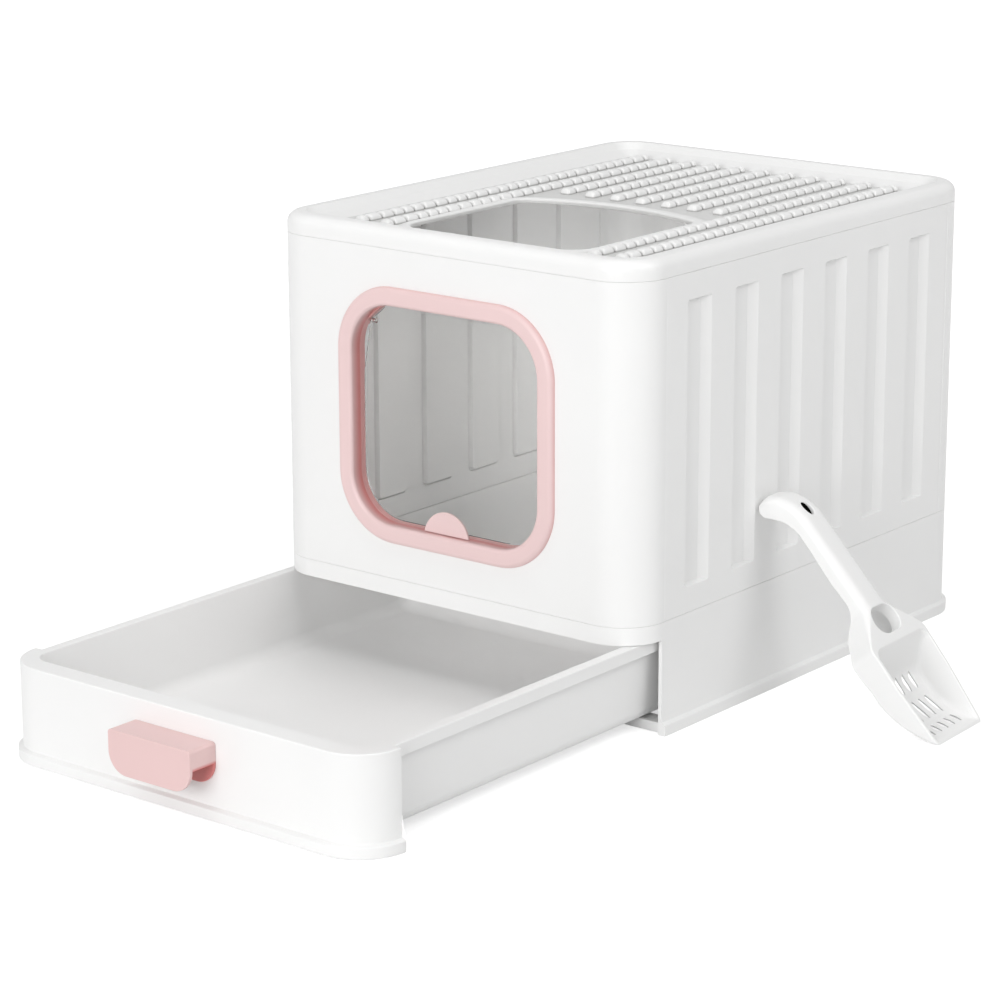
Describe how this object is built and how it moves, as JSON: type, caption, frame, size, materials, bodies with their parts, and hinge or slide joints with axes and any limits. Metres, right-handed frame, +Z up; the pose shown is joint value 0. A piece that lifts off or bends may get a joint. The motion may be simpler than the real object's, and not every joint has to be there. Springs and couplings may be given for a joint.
{
  "type": "drawer litter box",
  "caption": "Enclosed litter box with a clear swing flap, a top exit with a ridged lid, a pull-out litter drawer with a cup handle, and a slotted scoop leaning on its side.",
  "frame": {"origin": "middle of the underside of the front sill, on the floor, in the drawer's mouth", "axes": "+X to the right across the front, +Y from the front to the back of the housing, +Z up; the drawer pulls out along -Y"},
  "size_m": [0.5288, 0.7831, 0.3604],
  "materials": {
    "white_plastic": "white moulded polypropylene, satin gloss",
    "pink_plastic": "pale pink moulded plastic, satin gloss",
    "clear_flap": "clear flexible plastic sheet",
    "pin_steel": "bright steel pin"
  },
  "bodies": {
    "housing": {"base_housing": "white_plastic", "front_panel": "white_plastic", "back_panel": "white_plastic", "left_panel": "white_plastic", "right_panel": "white_plastic", "window_bezel": "pink_plastic", "window_retainer": "pink_plastic"},
    "flap": {"flap": "clear_flap", "flap_tab": "pink_plastic", "flap_pin_left": "pin_steel", "flap_pin_right": "pin_steel"},
    "lid": {"lid": "white_plastic"},
    "drawer": {"drawer_tray": "white_plastic", "drawer_handle": "pink_plastic"},
    "scoop": {"scoop": "white_plastic"}
  },
  "joints": [
    {"name": "drawer_slide", "type": "slide", "parent": "housing", "child": "drawer", "axis": [0, -1, 0], "range_m": [-0.2955, 0.149]},
    {"name": "flap_swing", "type": "hinge", "parent": "housing", "child": "flap", "pos_m": [0, -0.0383, 0.286], "axis": [1, 0, 0], "range_deg": [-80, 80]},
    {"name": "lid_lift", "type": "slide", "parent": "housing", "child": "lid", "axis": [0, 0, 1], "range_m": [0, 0.2]},
    {"name": "scoop_lift", "type": "slide", "parent": "housing", "child": "scoop", "axis": [0, 0, 1], "range_m": [0, 0.2]}
  ]
}
